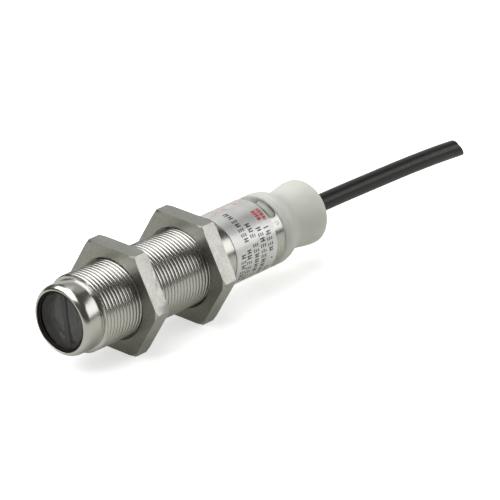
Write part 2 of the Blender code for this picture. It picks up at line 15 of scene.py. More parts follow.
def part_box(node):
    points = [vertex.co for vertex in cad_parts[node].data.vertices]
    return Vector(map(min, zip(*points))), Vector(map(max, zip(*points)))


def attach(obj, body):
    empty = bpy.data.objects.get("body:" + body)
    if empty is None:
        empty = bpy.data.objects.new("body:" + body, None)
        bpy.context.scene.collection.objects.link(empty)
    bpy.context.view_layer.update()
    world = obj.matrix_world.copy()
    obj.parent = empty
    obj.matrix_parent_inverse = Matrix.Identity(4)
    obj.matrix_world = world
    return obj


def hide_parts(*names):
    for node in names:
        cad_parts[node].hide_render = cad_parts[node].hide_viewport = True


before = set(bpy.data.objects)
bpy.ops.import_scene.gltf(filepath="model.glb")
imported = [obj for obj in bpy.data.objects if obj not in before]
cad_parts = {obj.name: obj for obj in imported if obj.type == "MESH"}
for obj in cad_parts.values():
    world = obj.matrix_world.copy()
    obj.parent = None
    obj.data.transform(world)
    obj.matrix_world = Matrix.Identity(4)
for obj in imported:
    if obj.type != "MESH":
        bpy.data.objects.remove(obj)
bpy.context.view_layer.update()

MM = 0.001
BODY, FRONT_NUT, REAR_NUT = "sensor_body", "front_nut", "rear_nut"

# The barrel's axis, read from the frame
BARREL_LOW, BARREL_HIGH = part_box("barrel")
FRONT_X = BARREL_LOW.x
AXIS_Z = (BARREL_LOW.z + BARREL_HIGH.z) / 2


def span(node):
    """The first and last station of a CAD node."""
    low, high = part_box(node)
    return (low.x - FRONT_X) / MM, (high.x - FRONT_X) / MM


def outer_radius(node):
    low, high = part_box(node)
    return (high.y - low.y) / 2 / MM


def place(station, radius=0.0, angle=0.0):
    """World point, in metres, of a station, a radius in millimetres and an angle in degrees."""
    turn = math.radians(angle)
    return Vector((
        FRONT_X + station * MM,
        -radius * MM * math.cos(turn),
        AXIS_Z + radius * MM * math.sin(turn),
    ))


# ---------------------------------------------------------------- camera, light and floor

AIM = Vector((0.0214, 0.0, 0.0083))
CAMERA_BACK = Vector((-0.6751, -0.6094, 0.4158))
CAMERA_DISTANCE = 0.9037
LENS_MM = 288.0
SENSOR_MM = 36.0


def make_camera():
    data = bpy.data.cameras.new("camera")
    data.lens = LENS_MM
    data.sensor_width = SENSOR_MM
    data.clip_start = 0.01
    camera = bpy.data.objects.new("camera", data)
    bpy.context.scene.collection.objects.link(camera)
    back = CAMERA_BACK.normalized()
    camera.location = AIM + back * CAMERA_DISTANCE
    camera.rotation_mode = "QUATERNION"
    camera.rotation_quaternion = (-back).to_track_quat("-Z", "Y")
    bpy.context.scene.camera = camera


def softbox(name, direction, distance, size, radiance):
    """A rectangular area light that faces the sensor, with its power worked out from its radiance.

    The direction is from the sensor to the light; the distance and the size are in metres.
    """
    data = bpy.data.lights.new(name, "AREA")
    data.shape = "RECTANGLE"
    data.size, data.size_y = size
    data.energy = radiance * math.pi * size[0] * size[1]
    light = bpy.data.objects.new(name, data)
    bpy.context.scene.collection.objects.link(light)
    toward = Vector(direction).normalized()
    light.location = toward * distance + Vector((0, 0, AXIS_Z))
    light.rotation_mode = "QUATERNION"
    light.rotation_quaternion = toward.to_track_quat("Z", "Y")


def make_lights():
    softbox("right_softbox", (0.745, -0.548, 0.380), 1.0, (1.10, 0.50), 1.5)
    softbox("top_softbox", (-0.33, 0.27, 0.90), 1.0, (1.20, 1.20), 2.6)
    softbox("top_fill", (0.33, 0.27, 0.90), 1.1, (0.32, 1.00), 0.5)
    softbox("left_softbox", (-0.82, 0.22, 0.45), 1.0, (0.40, 0.50), 1.1)
    softbox("back_panel", (0.68, 0.38, 0.62), 1.3, (0.80, 0.90), 0.34)
    softbox("backdrop_panel", (0.675, 0.69, 0.19), 1.2, (0.70, 0.36), 0.65)
    softbox("far_panel", (-0.05, 0.72, 0.68), 1.1, (0.60, 0.35), 1.8)


def make_world():
    """White where the camera looks past the floor, and dim grey as a source of light."""
    world = bpy.data.worlds.new("studio")
    bpy.context.scene.world = world
    world.use_nodes = True
    tree = world.node_tree
    tree.nodes.clear()
    output = tree.nodes.new("ShaderNodeOutputWorld")
    backdrop = tree.nodes.new("ShaderNodeBackground")
    backdrop.inputs["Color"].default_value = (1.0, 1.0, 1.0, 1.0)
    room = tree.nodes.new("ShaderNodeBackground")
    room.inputs["Color"].default_value = (0.075, 0.075, 0.062, 1.0)
    ray = tree.nodes.new("ShaderNodeLightPath")
    mix = tree.nodes.new("ShaderNodeMixShader")
    tree.links.new(ray.outputs["Is Camera Ray"], mix.inputs["Fac"])
    tree.links.new(room.outputs["Background"], mix.inputs[1])
    tree.links.new(backdrop.outputs["Background"], mix.inputs[2])
    tree.links.new(mix.outputs["Shader"], output.inputs["Surface"])


FLOOR_SIZE = 5.0


def paper(tree, colour, glow):
    """A diffuse surface that also glows a little; returns its shader's output."""
    diffuse = tree.nodes.new("ShaderNodeBsdfDiffuse")
    diffuse.inputs["Color"].default_value = (*colour, 1.0)
    lift = tree.nodes.new("ShaderNodeEmission")
    lift.inputs["Color"].default_value = (*glow, 1.0)
    total = tree.nodes.new("ShaderNodeAddShader")
    tree.links.new(diffuse.outputs["BSDF"], total.inputs[0])
    tree.links.new(lift.outputs["Emission"], total.inputs[1])
    return total.outputs["Shader"]


def make_floor():
    """A pale floor. The camera sees it near white; the light that it throws back is that of pale grey."""
    mesh = bpy.data.meshes.new("floor")
    build = bmesh.new()
    bmesh.ops.create_grid(build, x_segments=1, y_segments=1, size=FLOOR_SIZE / 2)
    build.to_mesh(mesh)
    build.free()
    floor = bpy.data.objects.new("floor", mesh)
    bpy.context.scene.collection.objects.link(floor)
    look = bpy.data.materials.new("pale_floor")
    look.use_nodes = True
    tree = look.node_tree
    tree.nodes.clear()
    output = tree.nodes.new("ShaderNodeOutputMaterial")
    ray = tree.nodes.new("ShaderNodeLightPath")
    mix = tree.nodes.new("ShaderNodeMixShader")
    tree.links.new(ray.outputs["Is Camera Ray"], mix.inputs["Fac"])
    tree.links.new(paper(tree, (0.52, 0.52, 0.50), (0.17, 0.17, 0.15)), mix.inputs[1])
    tree.links.new(paper(tree, (0.90, 0.90, 0.90), (0.62, 0.62, 0.62)), mix.inputs[2])
    tree.links.new(mix.outputs["Shader"], output.inputs["Surface"])
    mesh.materials.append(look)


# ---------------------------------------------------------------- mesh helpers

AROUND = 128
FINE_AROUND = 192
LENS_AROUND = 96
CHANNEL_AROUND = 64
SHARP_ANGLE = math.radians(28)
ROUNDED_ANGLE = math.radians(30)
SOFT_ANGLE = math.radians(50)
ROUNDED_SEGMENTS = 3
# Vertices nearer than this, in metres, become one; a radius below ON_AXIS, in millimetres, is no radius
MERGE, THREAD_MERGE = 1e-7, 1e-6
ON_AXIS = 1e-6
# How far a cutter reaches past the surface that it cuts, in millimetres
CUT_MARGIN = 1.0


def add_piece(name, build, look, body):
    """Turn a finished bmesh into an object; it rides on the body if one is given."""
    bmesh.ops.remove_doubles(build, verts=build.verts, dist=MERGE)
    bmesh.ops.dissolve_degenerate(build, edges=build.edges, dist=MERGE)
    bmesh.ops.recalc_face_normals(build, faces=build.faces)
    mesh = bpy.data.meshes.new(name)
    build.to_mesh(mesh)
    build.free()
    mesh.shade_smooth()
    mesh.set_sharp_from_angle(angle=SHARP_ANGLE)
    mesh.materials.append(look)
    piece = bpy.data.objects.new(name, mesh)
    bpy.context.scene.collection.objects.link(piece)
    if body:
        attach(piece, body)
    return piece


def ring_of(build, station, radius, segments):
    if radius < ON_AXIS:
        return [build.verts.new(place(station))]
    return [build.verts.new(place(station, radius, -360 * k / segments)) for k in range(segments)]


def bridge(build, first, second):
    """Faces between two rings; a ring of one vertex is a point on the axis."""
    count = max(len(first), len(second))
    for k in range(count):
        after = (k + 1) % count
        if len(first) == 1:
            build.faces.new((first[0], second[k], second[after]))
        elif len(second) == 1:
            build.faces.new((first[k], second[0], first[after]))
        else:
            build.faces.new((first[k], second[k], second[after], first[after]))


def lathe(build, profile, segments=AROUND, closed=True):
    """Sweep a profile of (station, radius) points round the axis."""
    rings = [ring_of(build, station, radius, segments) for station, radius in profile]
    for first, second in zip(rings, rings[1:]):
        bridge(build, first, second)
    if closed:
        bridge(build, rings[-1], rings[0])
    return rings


def turned(name, profile, look, body=BODY, segments=AROUND, closed=True):
    build = bmesh.new()
    lathe(build, profile, segments, closed)
    return add_piece(name, build, look, body)


def elliptical_arc(centre, reach, first, last, steps=8):
    """Points of an ellipse about (station, radius), between two angles counted from the station axis."""
    turns = [math.radians(first + (last - first) * step / steps) for step in range(steps + 1)]
    return [(centre[0] + reach[0] * math.cos(t), centre[1] + reach[1] * math.sin(t)) for t in turns]


def arc(centre, radius, first, last, steps=8):
    return elliptical_arc(centre, (radius, radius), first, last, steps)


def ease(start, end, steps):
    """An S curve from one (station, radius) to another, level at both ends."""
    points = []
    for step in range(steps + 1):
        share = step / steps
        lift = (1 - math.cos(math.pi * share)) / 2
        points.append((start[0] + (end[0] - start[0]) * share, start[1] + (end[1] - start[1]) * lift))
    return points


def baked(piece):
    """Apply a piece's modifiers to its mesh."""
    bpy.context.view_layer.update()
    graph = bpy.context.evaluated_depsgraph_get()
    mesh = bpy.data.meshes.new_from_object(piece.evaluated_get(graph))
    piece.modifiers.clear()
    piece.data = mesh


def combine(piece, operation, *others):
    """Boolean the other objects into a piece, in order, and remove them."""
    for other in others:
        step = piece.modifiers.new(operation.lower(), "BOOLEAN")
        step.operation = operation
        step.solver = "EXACT"
        step.object = other
        baked(piece)
        bpy.data.objects.remove(other, do_unlink=True)
    piece.data.set_sharp_from_angle(angle=SHARP_ANGLE)


def rounded(piece, width):
    """Round a piece's edges."""
    bevel = piece.modifiers.new("rounded", "BEVEL")
    bevel.width = width * MM
    bevel.segments = ROUNDED_SEGMENTS
    bevel.limit_method = "ANGLE"
    bevel.angle_limit = ROUNDED_ANGLE
    bevel.harden_normals = False
    baked(piece)
    piece.data.shade_smooth()
    piece.data.set_sharp_from_angle(angle=SOFT_ANGLE)


def along_axis(station, angle, radius):
    """A frame at a place on the barrel: X runs round it, Y along it and Z outward."""
    outward = (place(station, 1, angle) - place(station)).normalized()
    along = Vector((1, 0, 0))
    around = along.cross(outward)
    turn = Matrix((around, along, outward)).transposed().to_4x4()
    return Matrix.Translation(place(station, radius, angle)) @ turn


def oblong(name, station, angle, length, width, inner, outer, look):
    """A round-ended block that stands out radially, its long side round the barrel."""
    build = bmesh.new()
    half, radius, steps = (length - width) / 2, width / 2, 16
    outline = []
    for middle, first in ((half, -90), (-half, 90)):
        for step in range(steps + 1):
            turn = math.radians(first + 180 * step / steps)
            outline.append((middle + radius * math.cos(turn), radius * math.sin(turn)))
    frame_here = along_axis(station, angle, 0)
    low = [build.verts.new(frame_here @ Vector((x * MM, y * MM, inner * MM))) for x, y in outline]
    high = [build.verts.new(frame_here @ Vector((x * MM, y * MM, outer * MM))) for x, y in outline]
    bridge(build, low, high)
    build.faces.new(low)
    build.faces.new(high)
    return add_piece(name, build, look, None)


# ---------------------------------------------------------------- materials

# A noise pattern's values mostly lie between these two
NOISE_LOW, NOISE_HIGH = 0.3, 0.7


class Finish:
    """A Principled material with a node tree that is quick to extend."""

    def __init__(self, name, colour, roughness, **settings):
        self.material = bpy.data.materials.new(name)
        self.material.use_nodes = True
        self.tree = self.material.node_tree
        self.shader = self.tree.nodes["Principled BSDF"]
        self.colour, self.roughness = colour, roughness
        self.shader.inputs["Base Color"].default_value = (*colour, 1.0)
        self.shader.inputs["Roughness"].default_value = roughness
        for socket, value in settings.items():
            self.shader.inputs[socket.replace("_", " ")].default_value = value
        self.place = self.node("ShaderNodeTexCoord").outputs["Object"]
        self.normal = None

    def node(self, kind, **settings):
        made = self.tree.nodes.new(kind)
        for name, value in settings.items():
            setattr(made, name, value)
        return made

    def link(self, source, target):
        self.tree.links.new(source, target)

    def noise(self, per_mm, detail=3.0):
        """Noise with about this many features a millimetre."""
        texture = self.node("ShaderNodeTexNoise")
        texture.inputs["Scale"].default_value = per_mm / MM
        texture.inputs["Detail"].default_value = detail
        self.link(self.place, texture.inputs["Vector"])
        return texture.outputs["Fac"]

    def rings(self, per_mm, detail=2.0):
        """Noise that changes along the barrel only, as a turning tool's marks do."""
        parts = self.node("ShaderNodeSeparateXYZ")
        self.link(self.place, parts.inputs["Vector"])
        texture = self.node("ShaderNodeTexNoise", noise_dimensions="1D")
        texture.inputs["Scale"].default_value = per_mm / MM
        texture.inputs["Detail"].default_value = detail
        self.link(parts.outputs["X"], texture.inputs["W"])
        return texture.outputs["Fac"]

    def ramp(self, source, low, high):
        """Map a noise pattern to a range of values."""
        remap = self.node("ShaderNodeMapRange")
        remap.inputs["From Min"].default_value = NOISE_LOW
        remap.inputs["From Max"].default_value = NOISE_HIGH
        remap.inputs["To Min"].default_value = low
        remap.inputs["To Max"].default_value = high
        self.link(source, remap.inputs["Value"])
        return remap.outputs["Result"]

    def rough(self, source, low, high):
        self.link(self.ramp(source, low, high), self.shader.inputs["Roughness"])

    def tint(self, source, other, share=1.0):
        """Blend the colour toward another one where a pattern is high."""
        mix = self.node("ShaderNodeMix", data_type="RGBA")
        mix.inputs[6].default_value = (*self.colour, 1.0)
        mix.inputs[7].default_value = (*other, 1.0)
        self.link(self.ramp(source, 0.0, share), mix.inputs[0])
        self.link(mix.outputs[2], self.shader.inputs["Base Color"])

    def bump(self, source, height_mm):
        """Raise the surface by a pattern, on top of any earlier bump."""
        bump = self.node("ShaderNodeBump")
        bump.inputs["Distance"].default_value = height_mm * MM
        self.link(source, bump.inputs["Height"])
        if self.normal:
            self.link(self.normal, bump.inputs["Normal"])
        self.normal = bump.outputs["Normal"]
        self.link(self.normal, self.shader.inputs["Normal"])


def turned_steel():
    """Turned and polished stainless steel: fine rings, faint smears, small colour drift."""
    look = Finish("turned_steel", (0.62, 0.617, 0.585), 0.22, Metallic=1.0)
    look.rough(look.noise(0.35), 0.19, 0.25)
    look.tint(look.noise(0.15), (0.585, 0.582, 0.545))
    look.bump(look.rings(6.0), 0.0008)
    look.bump(look.noise(0.5, 1.0), 0.003)
    return look.material


def blasted_steel(name, colour):
    """Bead-blasted stainless steel: dense fine dimples and a soft mottle."""
    look = Finish(name, colour, 0.34, Metallic=1.0)
    look.rough(look.noise(0.5), 0.29, 0.38)
    look.tint(look.noise(2.2, 5.0), tuple(c * 0.77 for c in colour))
    look.bump(look.noise(4.0, 3.0), 0.014)
    return look.material


def rubber(name, colour):
    look = Finish(name, colour, 0.6, Specular_IOR_Level=0.2)
    look.rough(look.noise(2.0), 0.5, 0.72)
    look.tint(look.noise(1.0), tuple(c * 1.6 for c in colour), 0.5)
    look.bump(look.noise(6.0), 0.004)
    return look.material


def moulded(name, colour, roughness, grain_mm=0.003, **settings):
    """Moulded plastic: faint flow mottling and a fine mould grain."""
    look = Finish(name, colour, roughness, **settings)
    look.rough(look.noise(0.8), roughness - 0.06, roughness + 0.08)
    look.tint(look.noise(0.4), tuple(c * 0.86 for c in colour), 0.7)
    look.bump(look.noise(4.0), grain_mm)
    return look.material


def clear_film(name, tint, ior, roughness):
    """A clear skin: light passes through it tinted, and its outer side shines by Fresnel."""
    material = bpy.data.materials.new(name)
    material.use_nodes = True
    tree = material.node_tree
    tree.nodes.clear()
    output = tree.nodes.new("ShaderNodeOutputMaterial")
    through = tree.nodes.new("ShaderNodeBsdfTransparent")
    through.inputs["Color"].default_value = (*tint, 1.0)
    shine = tree.nodes.new("ShaderNodeBsdfGlossy")
    shine.inputs["Color"].default_value = (1.0, 1.0, 1.0, 1.0)
    shine.inputs["Roughness"].default_value = roughness
    fresnel = tree.nodes.new("ShaderNodeFresnel")
    fresnel.inputs["IOR"].default_value = ior
    coords = tree.nodes.new("ShaderNodeTexCoord")
    noise = tree.nodes.new("ShaderNodeTexNoise")
    noise.inputs["Scale"].default_value = 0.5 / MM
    bump = tree.nodes.new("ShaderNodeBump")
    bump.inputs["Distance"].default_value = 0.004 * MM
    mix = tree.nodes.new("ShaderNodeMixShader")
    tree.links.new(coords.outputs["Object"], noise.inputs["Vector"])
    tree.links.new(noise.outputs["Fac"], bump.inputs["Height"])
    tree.links.new(bump.outputs["Normal"], shine.inputs["Normal"])
    tree.links.new(bump.outputs["Normal"], fresnel.inputs["Normal"])
    side = tree.nodes.new("ShaderNodeNewGeometry")
    outside = tree.nodes.new("ShaderNodeMath")
    outside.operation = "SUBTRACT"
    outside.inputs[0].default_value = 1.0
    share = tree.nodes.new("ShaderNodeMath")
    share.operation = "MULTIPLY"
    tree.links.new(side.outputs["Backfacing"], outside.inputs[1])
    tree.links.new(fresnel.outputs["Fac"], share.inputs[0])
    tree.links.new(outside.outputs["Value"], share.inputs[1])
    tree.links.new(share.outputs["Value"], mix.inputs["Fac"])
    tree.links.new(through.outputs["BSDF"], mix.inputs[1])
    tree.links.new(shine.outputs["BSDF"], mix.inputs[2])
    tree.links.new(mix.outputs["Shader"], output.inputs["Surface"])
    return material


def bell_plastic():
    """Milky moulded plastic that lets light in a little way, with a grey-green cast."""
    look = Finish(
        "bell_plastic", (0.715, 0.724, 0.672), 0.38,
        Subsurface_Weight=1.0, Subsurface_Radius=(1.0, 1.0, 0.95), Subsurface_Scale=0.004,
    )
    look.rough(look.noise(0.5), 0.34, 0.46)
    look.tint(look.noise(0.22, 2.0), (0.70, 0.708, 0.66), 0.8)
    look.bump(look.noise(1.5, 2.0), 0.006)
    look.bump(look.rings(1.2), 0.002)
    return look.material


def label_film():
    look = Finish("label_film", (0.95, 0.95, 0.96), 0.46, Metallic=0.92)
    look.rough(look.noise(0.7), 0.42, 0.50)
    look.tint(look.noise(0.3), (0.87, 0.87, 0.885))
    look.bump(look.noise(0.35, 1.0), 0.008)
    return look.material


def ink(name, colour, worn):
    """Printed ink, thin in places so that a little of the film shows."""
    look = Finish(name, colour, 0.5)
    look.tint(look.noise(3.0, 4.0), worn, 0.8)
    look.rough(look.noise(1.0), 0.42, 0.58)
    return look.material


def board_laminate():
    look = Finish("board_laminate", (0.02, 0.16, 0.06), 0.35)
    look.tint(look.noise(1.2, 1.0), (0.04, 0.24, 0.09))
    look.rough(look.noise(2.0), 0.3, 0.45)
    look.bump(look.noise(3.0), 0.004)
    return look.material


STEEL = turned_steel()
NUT_STEEL = blasted_steel("blasted_steel", (0.565, 0.562, 0.525))
# The nuts' faces: the same blasted steel at a darker colour, as painted shade on the faces that point
# along the axis
NUT_FACE_SHADED_STEEL = blasted_steel("blasted_steel_painted_face_shade", (0.40, 0.398, 0.366))
BELL = bell_plastic()
LABEL = label_film()
BLACK_INK = ink("label_ink", (0.02, 0.02, 0.022), (0.10, 0.10, 0.10))
RED_INK = ink("label_red_ink", (0.50, 0.045, 0.06), (0.62, 0.16, 0.17))
PALE_RED_INK = ink("label_pale_red_ink", (0.66, 0.36, 0.37), (0.70, 0.50, 0.50))
GASKET_RUBBER = rubber("gasket_rubber", (0.007, 0.0035, 0.0025))
SEAL_RUBBER = rubber("seal_rubber", (0.015, 0.015, 0.015))
CABLE_PVC = moulded("cable_pvc", (0.008, 0.008, 0.007), 0.34, 0.003)
HOLDER_PLASTIC = moulded("holder_plastic", (0.060, 0.060, 0.060), 0.45)
WINDOW_FILM = clear_film("smoked_window", (0.85, 0.85, 0.85), 1.36, 0.02)
SLEEVE_FILM = clear_film("clear_sleeve", (0.985, 0.985, 0.98), 1.45, 0.06)
COPPER = moulded("copper_strands", (0.75, 0.34, 0.17), 0.3, 0.01, Metallic=1.0)
LENS_ACRYLIC = moulded(
    "lens_acrylic", (0.78, 0.78, 0.78), 0.08, 0.0004, Transmission_Weight=0.90, IOR=1.49,
)

INNER_LOOKS = {
    "emitter_led": moulded("led_epoxy", (0.35, 0.30, 0.45), 0.12, 0.0008, Transmission_Weight=0.6),
    "receiver_photodiode": moulded("photodiode_compound", (0.03, 0.03, 0.035), 0.4),
    "optics_board": board_laminate(),
    "header_strip": HOLDER_PLASTIC,
    "filter_capacitor": moulded("capacitor_sleeve", (0.45, 0.28, 0.08), 0.38),
    "suppression_inductor": moulded("ferrite", (0.08, 0.08, 0.09), 0.55, 0.01),
    "indicator_led": moulded("amber_lens", (0.95, 0.55, 0.08), 0.2, 0.001),
    "bell_seal_ring": SEAL_RUBBER,
    "potting_plug": moulded("potting_resin", (0.08, 0.07, 0.06), 0.3),
    "cable_root": CABLE_PVC,
    "cable_ferrule": moulded("tinned_steel", (0.66, 0.66, 0.64), 0.3, 0.003, Metallic=1.0),
    "wire_brown": moulded("brown_pvc", (0.16, 0.06, 0.02), 0.42),
    "wire_blue": moulded("blue_pvc", (0.02, 0.10, 0.45), 0.42),
    "wire_black": moulded("black_pvc", (0.015, 0.015, 0.015), 0.42),
}
INNER_LOOKS["main_board"] = INNER_LOOKS["optics_board"]
INNER_LOOKS["timing_capacitor"] = INNER_LOOKS["filter_capacitor"]
GOLD = moulded("gold_plating", (0.90, 0.68, 0.28), 0.25, 0.001, Metallic=1.0)
for pin_number in range(1, 5):
    INNER_LOOKS[f"header_pin_{pin_number}"] = GOLD
CHIP = moulded("chip_compound", (0.03, 0.03, 0.03), 0.45, 0.004)
CHIP_NODES = (
    "controller_chip", "comparator_chip", "voltage_regulator", "output_transistor", "protection_diode",
)
for chip_node in CHIP_NODES:
    INNER_LOOKS[chip_node] = CHIP


def finish_inner_nodes():
    """Give every CAD node that stays its own finish."""
    for node, look in INNER_LOOKS.items():
        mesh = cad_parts[node].data
        mesh.materials.clear()
        mesh.materials.append(look)


# ---------------------------------------------------------------- barrel

THREAD_START, THREAD_END = 5.4, 44.5
THREAD_PITCH = 1.0
THREAD_CREST = 9.0
THREAD_ROOT = 8.55
# Half of the thread's form, from the crest's middle to the root: (share of the pitch, share of the depth)
HALF_THREAD = (
    (0.00, 1.0), (0.08, 0.991), (0.15, 0.969), (0.22, 0.927), (0.29, 0.858), (0.34, 0.765), (0.40, 0.515),
    (0.46, 0.263), (0.49, 0.0),
)
THREAD_FORM = HALF_THREAD + tuple((1 - share, height) for share, height in reversed(HALF_THREAD[1:]))
# The thread's ends rise this much faster than they run along the barrel
THREAD_RUN_OUT = 3.0
# The collar's front edge is a quarter ellipse: its reach along the barrel, and inward
COLLAR_RADIUS, COLLAR_END = 8.2, 4.9
COLLAR_ROUNDING = (1.8, 1.1)
COLLAR_EDGE = 0.08
# The groove between collar and thread; its corners each reach along it and rise from its floor
GROOVE_RADIUS = 8.0
GROOVE_INSET = 0.12
GROOVE_FRONT_CORNER, GROOVE_REAR_CORNER = (0.05, 0.04), (0.08, 0.05)
LIP_RADIUS, LIP_DEPTH, LIP_ROUNDING = 7.05, 0.4, 0.10
BORE_RADIUS, BORE_CHAMFER = 7.4, 0.3
TAIL_RADIUS, TAIL_END = 8.4, 63.9
TAIL_ROUNDING = 0.3
# The step from the thread's root down to the tail takes this length
THREAD_STEP = 0.1
SLOT_STATION, SLOT_ANGLE = 62.3, 63.0
SLOT_LENGTH, SLOT_WIDTH = 5.6, 1.9
# The stake mark is the trace of a sphere of this radius, pressed in this deep
DIMPLE_STATION, DIMPLE_ANGLE = 62.4, 33.7
DIMPLE_SPHERE, DIMPLE_DEPTH = 2.0, 0.10
DIMPLE_AROUND = 48


def thread_radius(station, height):
    """Radius of the thread, with a steep run-out at both ends."""
    full = (THREAD_CREST - THREAD_ROOT) * height
    to_end = min(station - THREAD_START, THREAD_END - station)
    return THREAD_ROOT + min(full, THREAD_RUN_OUT * to_end)


def add_thread(build):
    """A right-hand thread as one grid whose rows follow the helix."""
    per_turn = len(THREAD_FORM)
    turns = int((THREAD_END - THREAD_START) / THREAD_PITCH) + 3
    columns = []
    for k in range(AROUND):
        column = []
        shift = THREAD_PITCH * k / AROUND
        for turn in range(turns):
            for share, height in THREAD_FORM:
                station = THREAD_START + THREAD_PITCH * (turn - 2 + share) + shift
                station = min(max(station, THREAD_START), THREAD_END)
                radius = thread_radius(station, height)
                column.append(build.verts.new(place(station, radius, -360 * k / AROUND)))
        columns.append(column)
    for k in range(AROUND):
        here, there = columns[k], columns[(k + 1) % AROUND]
        step = per_turn if k == AROUND - 1 else 0
        for row in range(len(here) - 1 - step):
            corners = (here[row], here[row + 1], there[row + 1 + step], there[row + step])
            build.faces.new(corners)


def make_barrel():
    """Polished collar, groove, thread, plain tail with two slots and a stake mark, lip and bore."""
    collar_corner = (COLLAR_END - COLLAR_EDGE, COLLAR_RADIUS - COLLAR_EDGE)
    tail_corner = (TAIL_END - TAIL_ROUNDING, TAIL_RADIUS - TAIL_ROUNDING)
    along, inward = COLLAR_ROUNDING
    # From the thread's start forward, round the lip, back through the bore and round the tail
    profile = [
        (THREAD_START, THREAD_ROOT),
        (THREAD_START - GROOVE_REAR_CORNER[0], GROOVE_RADIUS + GROOVE_REAR_CORNER[1]),
        (THREAD_START - GROOVE_INSET, GROOVE_RADIUS),
        (COLLAR_END + GROOVE_INSET, GROOVE_RADIUS),
        (COLLAR_END + GROOVE_FRONT_CORNER[0], GROOVE_RADIUS + GROOVE_FRONT_CORNER[1]),
    ]
    profile += arc(collar_corner, COLLAR_EDGE, 0, 90, 3)
    profile += elliptical_arc((along, COLLAR_RADIUS - inward), (along, inward), 90, 180, 24)
    profile += arc((LIP_ROUNDING, LIP_RADIUS + LIP_ROUNDING), LIP_ROUNDING, 180, 270, 4)
    profile += [
        (LIP_DEPTH, LIP_RADIUS), (LIP_DEPTH, BORE_RADIUS),
        (TAIL_END - BORE_CHAMFER, BORE_RADIUS), (TAIL_END, BORE_RADIUS + BORE_CHAMFER),
    ]
    profile += arc(tail_corner, TAIL_ROUNDING, 0, 90, 6)
    profile += [(THREAD_END + THREAD_STEP, TAIL_RADIUS), (THREAD_END, THREAD_ROOT)]
    build = bmesh.new()
    lathe(build, profile, closed=False)
    add_thread(build)
    bmesh.ops.remove_doubles(build, verts=build.verts, dist=THREAD_MERGE)
    barrel = add_piece("threaded_barrel", build, STEEL, BODY)
    for turn in (0, 180):
        slot = oblong(
            "slot", SLOT_STATION, SLOT_ANGLE + turn, SLOT_LENGTH, SLOT_WIDTH,
            BORE_RADIUS - CUT_MARGIN, TAIL_RADIUS + CUT_MARGIN, STEEL,
        )
        combine(barrel, "DIFFERENCE", slot)
    build = bmesh.new()
    bmesh.ops.create_uvsphere(
        build, u_segments=DIMPLE_AROUND, v_segments=DIMPLE_AROUND // 2, radius=DIMPLE_SPHERE * MM,
    )
    centre = place(DIMPLE_STATION, TAIL_RADIUS + DIMPLE_SPHERE - DIMPLE_DEPTH, DIMPLE_ANGLE)
    bmesh.ops.translate(build, vec=centre, verts=build.verts)
    combine(barrel, "DIFFERENCE", add_piece("dimple", build, STEEL, None))
    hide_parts("barrel")


# ---------------------------------------------------------------- nuts

NUT_CORNER_DROP = 0.4
NUT_COUNTERSINK = 0.5
NUT_BORE = 9.06
NUT_EDGE = 0.09
CHAMFER_ANGLE = math.radians(30)
# A polygon whose normal is this much along the axis belongs to a nut's face, which is painted darker as
# shade
FACING = 0.9


def make_nut(name, node, body):
    """A hexagon jam nut: flats, 30 degree corner chamfers on both faces, and a countersunk bore; its two
    faces take a darker copy of the steel as painted shade.
    """
    start, end = span(node)
    corner = outer_radius(node)
    build = bmesh.new()
    sides = [ring_of(build, station, corner, 6) for station in (start, end)]
    bridge(build, sides[0], sides[1])
    for side in sides:
        build.faces.new(side)
    nut = add_piece(name, build, NUT_STEEL, None)
    cone = corner - NUT_CORNER_DROP / math.tan(CHAMFER_ANGLE)
    reach = corner + CUT_MARGIN
    drop = (reach - cone) * math.tan(CHAMFER_ANGLE)
    blank = turned(
        "blank",
        [(end, 0.0), (end, cone), (end - drop, reach), (start + drop, reach), (start, cone), (start, 0.0)],
        NUT_STEEL, None, closed=False,
    )
    combine(nut, "INTERSECT", blank)
    wide = NUT_BORE + NUT_COUNTERSINK
    bore = turned(
        "bore",
        [
            (end + CUT_MARGIN, 0.0), (end + CUT_MARGIN, wide + CUT_MARGIN), (end, wide),
            (end - NUT_COUNTERSINK, NUT_BORE), (start + NUT_COUNTERSINK, NUT_BORE), (start, wide),
            (start - CUT_MARGIN, wide + CUT_MARGIN), (start - CUT_MARGIN, 0.0),
        ],
        NUT_STEEL, None, closed=False,
    )
    combine(nut, "DIFFERENCE", bore)
    rounded(nut, NUT_EDGE)
    # Faces that point along the axis get the darker steel: painted shade
    nut.data.materials.append(NUT_FACE_SHADED_STEEL)
    for face in nut.data.polygons:
        face.material_index = 1 if abs(face.normal.x) > FACING else 0
    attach(nut, body)
    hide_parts(node)


# ---------------------------------------------------------------- front optics

INNER_ROLL = math.radians(-8.3)
SEPTUM = 1.3
POCKET_RADIUS, POCKET_END = 5.7, 4.8
LENS_START, LENS_BULGE, LENS_EDGE = 1.95, 0.5, 1.5
LENS_CLEARANCE = 0.12
LENS_STEPS = 14
CHANNEL_RADIUS, CHANNEL_OFFSET = 2.2, 3.2
GASKET_INNER, GASKET_ROUNDING = 6.35, 0.08
WINDOW_CHAMFER = 0.15


def roll(build):
    """Turn a mesh about the barrel's axis, to the angle at which the optics sit."""
    bmesh.ops.rotate(build, cent=place(0), matrix=Matrix.Rotation(INNER_ROLL, 3, "X"), verts=build.verts)


def d_block(name, start, end, radius, side, inset):
    """A cutter with a D outline: the part of a disc on one side of the middle."""
    build = bmesh.new()
    profile = [(start, 0.0), (start, radius), (end, radius), (end, 0.0)]
    lathe(build, profile, LENS_AROUND, closed=False)
    trim_side(build, side, inset)
    roll(build)
    return add_piece(name, build, HOLDER_PLASTIC, None)


